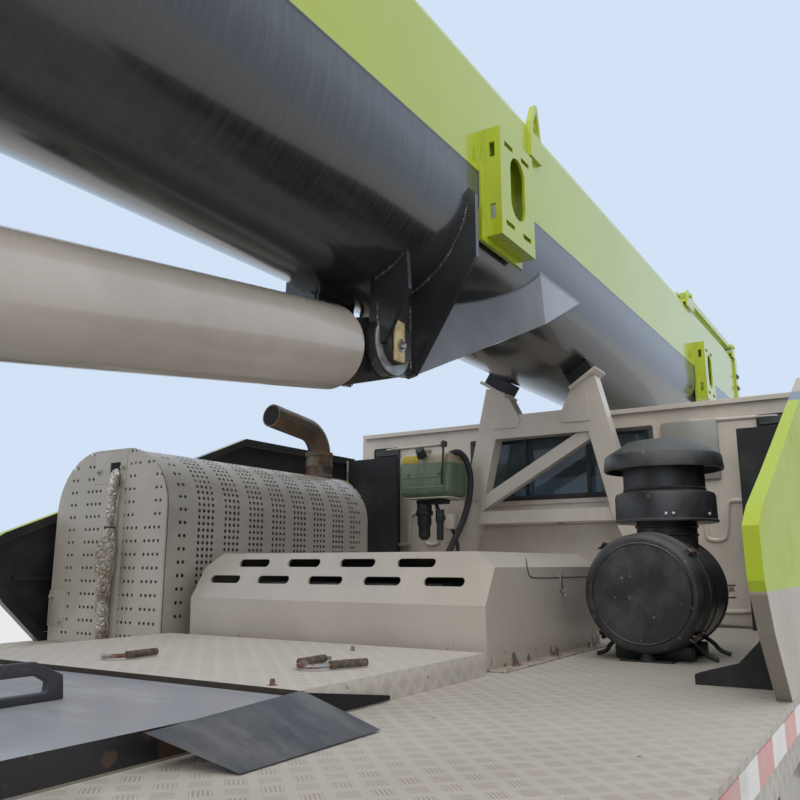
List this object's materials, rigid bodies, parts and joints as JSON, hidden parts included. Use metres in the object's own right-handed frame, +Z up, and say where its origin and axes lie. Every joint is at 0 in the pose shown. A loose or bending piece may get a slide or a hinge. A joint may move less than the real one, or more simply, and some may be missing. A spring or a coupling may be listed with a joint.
{
  "type": "mobile crane",
  "caption": "Truck-mounted mobile crane with a nested telescopic boom on a slewing platform, outriggers in each corner and a full-width cab",
  "frame": {"origin": "on the ground under the middle of the whole machine", "axes": "+X forward, +Y to the machine's left, +Z up"},
  "size_m": [12.62, 2.92, 3.41],
  "materials": {
    "frame_paint": "satin, dusty",
    "deck_plate": "worn tread plate",
    "lime": "gloss",
    "charcoal": "gloss",
    "beige": "satin",
    "cream": "gloss",
    "black_steel": "satin",
    "black_plastic": "matte",
    "tyre": "matte",
    "wheel": "satin",
    "steel": "machined",
    "rod_chrome": "polished",
    "rusty": "rusty",
    "engine_block": "oily",
    "glass": "tinted",
    "seat": "woven",
    "lamp": "moulded",
    "coolant": "translucent",
    "yellow": "gloss"
  },
  "bodies": {
    "chassis": {"chassis_frame": "frame_paint", "deck": "deck_plate", "axles": "black_steel", "cab_shell": "cream", "cab_glass": "glass", "cab_interior": "seat", "front_bumper": "cream", "lamps": "lamp", "mirrors": "black_plastic", "engine_hood": "beige", "engine": "engine_block", "muffler_guard": "beige", "exhaust_pipe": "rusty", "air_cleaner": "black_plastic", "boom_rest": "frame_paint", "coolant_tank": "coolant", "side_fairings": "black_plastic", "side_boxes": "beige"},
    "knuckle_left": {"knuckle_left": "black_steel"},
    "knuckle_right": {"knuckle_right": "black_steel"},
    "wheel_front_left": {"front_tyre_left": "tyre", "front_rim_left": "wheel"},
    "wheel_front_right": {"front_tyre_right": "tyre", "front_rim_right": "wheel"},
    "wheels_middle_left": {"middle_tyres_left": "tyre", "middle_rims_left": "wheel"},
    "wheels_middle_right": {"middle_tyres_right": "tyre", "middle_rims_right": "wheel"},
    "wheels_rear_left": {"rear_tyres_left": "tyre", "rear_rims_left": "wheel"},
    "wheels_rear_right": {"rear_tyres_right": "tyre", "rear_rims_right": "wheel"},
    "door_left": {"door_left": "cream", "door_left_glass": "glass"},
    "door_right": {"door_right": "cream", "door_right_glass": "glass"},
    "superstructure": {"turntable": "charcoal", "counterweight": "charcoal", "operator_cab": "lime", "operator_glass": "glass", "operator_seat": "seat"},
    "operator_door": {"operator_door": "lime", "operator_door_glass": "glass"},
    "winch": {"winch_drum": "steel"},
    "lift_barrel": {"lift_barrel": "beige"},
    "lift_rod": {"lift_rod": "rod_chrome"},
    "boom_base": {"boom_base": "lime"},
    "boom_section_2": {"boom_section_2": "lime"},
    "boom_section_3": {"boom_section_3": "lime"},
    "boom_section_4": {"boom_section_4": "lime"},
    "head_sheaves": {"head_sheaves": "steel"},
    "hook_block": {"hook_block": "yellow"},
    "outrigger_beam_front_left": {"outrigger_beam_front_left": "frame_paint"},
    "outrigger_leg_front_left": {"outrigger_leg_front_left": "steel"},
    "outrigger_beam_front_right": {"outrigger_beam_front_right": "frame_paint"},
    "outrigger_leg_front_right": {"outrigger_leg_front_right": "steel"},
    "outrigger_beam_rear_left": {"outrigger_beam_rear_left": "frame_paint"},
    "outrigger_leg_rear_left": {"outrigger_leg_rear_left": "steel"},
    "outrigger_beam_rear_right": {"outrigger_beam_rear_right": "frame_paint"},
    "outrigger_leg_rear_right": {"outrigger_leg_rear_right": "steel"}
  },
  "joints": [
    {"name": "steer_left", "type": "hinge", "parent": "chassis", "child": "knuckle_left", "pos_m": [1.96, 0.82, 0.54], "axis": [0, 0, 1], "range_deg": [-36, 36]},
    {"name": "spin_front_left", "type": "hinge", "parent": "knuckle_left", "child": "wheel_front_left", "pos_m": [1.96, 1.037, 0.54], "axis": [0, 1, 0], "continuous": true},
    {"name": "spin_middle_left", "type": "hinge", "parent": "chassis", "child": "wheels_middle_left", "pos_m": [-1.765, 0.917, 0.54], "axis": [0, 1, 0], "continuous": true},
    {"name": "spin_rear_left", "type": "hinge", "parent": "chassis", "child": "wheels_rear_left", "pos_m": [-3.115, 0.917, 0.54], "axis": [0, 1, 0], "continuous": true},
    {"name": "door_left_hinge", "type": "hinge", "parent": "chassis", "child": "door_left", "pos_m": [3.752, 1.222, 1.45], "axis": [0, 0, -1], "range_deg": [0, 75]},
    {"name": "steer_right", "type": "hinge", "parent": "chassis", "child": "knuckle_right", "pos_m": [1.96, -0.82, 0.54], "axis": [0, 0, 1], "range_deg": [-36, 36]},
    {"name": "spin_front_right", "type": "hinge", "parent": "knuckle_right", "child": "wheel_front_right", "pos_m": [1.96, -1.037, 0.54], "axis": [0, 1, 0], "continuous": true},
    {"name": "spin_middle_right", "type": "hinge", "parent": "chassis", "child": "wheels_middle_right", "pos_m": [-1.765, -0.917, 0.54], "axis": [0, 1, 0], "continuous": true},
    {"name": "spin_rear_right", "type": "hinge", "parent": "chassis", "child": "wheels_rear_right", "pos_m": [-3.115, -0.917, 0.54], "axis": [0, 1, 0], "continuous": true},
    {"name": "door_right_hinge", "type": "hinge", "parent": "chassis", "child": "door_right", "pos_m": [3.752, -1.222, 1.45], "axis": [0, 0, 1], "range_deg": [0, 75]},
    {"name": "beam_front_left_slide", "type": "slide", "parent": "chassis", "child": "outrigger_beam_front_left", "axis": [0, 1, 0], "range_m": [0, 1.55]},
    {"name": "leg_front_left_slide", "type": "slide", "parent": "outrigger_beam_front_left", "child": "outrigger_leg_front_left", "axis": [0, 0, -1], "range_m": [0, 0.5]},
    {"name": "beam_front_right_slide", "type": "slide", "parent": "chassis", "child": "outrigger_beam_front_right", "axis": [0, -1, 0], "range_m": [0, 1.55]},
    {"name": "leg_front_right_slide", "type": "slide", "parent": "outrigger_beam_front_right", "child": "outrigger_leg_front_right", "axis": [0, 0, -1], "range_m": [0, 0.5]},
    {"name": "beam_rear_left_slide", "type": "slide", "parent": "chassis", "child": "outrigger_beam_rear_left", "axis": [0, 1, 0], "range_m": [0, 1.55]},
    {"name": "leg_rear_left_slide", "type": "slide", "parent": "outrigger_beam_rear_left", "child": "outrigger_leg_rear_left", "axis": [0, 0, -1], "range_m": [0, 0.5]},
    {"name": "beam_rear_right_slide", "type": "slide", "parent": "chassis", "child": "outrigger_beam_rear_right", "axis": [0, -1, 0], "range_m": [0, 1.55]},
    {"name": "leg_rear_right_slide", "type": "slide", "parent": "outrigger_beam_rear_right", "child": "outrigger_leg_rear_right", "axis": [0, 0, -1], "range_m": [0, 0.5]},
    {"name": "slew", "type": "hinge", "parent": "chassis", "child": "superstructure", "pos_m": [-3.05, 0, 1.4], "axis": [0, 0, 1], "continuous": true},
    {"name": "luff", "type": "hinge", "parent": "superstructure", "child": "boom_base", "pos_m": [-4.25, 0, 2.67], "axis": [0, -1, 0], "range_deg": [0, 80]},
    {"name": "lift_tilt", "type": "hinge", "parent": "superstructure", "child": "lift_barrel", "pos_m": [-2.8, 0, 1.86], "axis": [0, -1, 0], "range_deg": [0, 85.4]},
    {"name": "lift_extend", "type": "slide", "parent": "lift_barrel", "child": "lift_rod", "axis": [0.9912, 0, 0.1326], "range_m": [0, 2.106]},
    {"name": "telescope_2", "type": "slide", "parent": "boom_base", "child": "boom_section_2", "axis": [1, 0, 0], "range_m": [0, 7.4]},
    {"name": "telescope_3", "type": "slide", "parent": "boom_section_2", "child": "boom_section_3", "axis": [1, 0, 0], "range_m": [0, 7.4]},
    {"name": "telescope_4", "type": "slide", "parent": "boom_section_3", "child": "boom_section_4", "axis": [1, 0, 0], "range_m": [0, 7.4]},
    {"name": "head_sheaves_spin", "type": "hinge", "parent": "boom_section_4", "child": "head_sheaves", "pos_m": [6.12, 0, 2.36], "axis": [0, 1, 0], "continuous": true},
    {"name": "hook_swing", "type": "hinge", "parent": "boom_section_4", "child": "hook_block", "pos_m": [6.12, 0, 2.36], "axis": [0, 1, 0], "range_deg": [-10, 82]},
    {"name": "winch_spin", "type": "hinge", "parent": "superstructure", "child": "winch", "pos_m": [-5.08, 0, 1.9], "axis": [0, 1, 0], "continuous": true},
    {"name": "operator_door_slide", "type": "slide", "parent": "superstructure", "child": "operator_door", "axis": [-1, 0, 0], "range_m": [0, 0.62]}
  ],
  "couplings": [
    {"joint": "steer_right", "follows": "steer_left", "ratio": 1},
    {"joint": "lift_tilt", "follows": "luff", "ratio": 1.0663},
    {"joint": "lift_extend", "follows": "luff", "m_per_rad": 1.505}
  ]
}
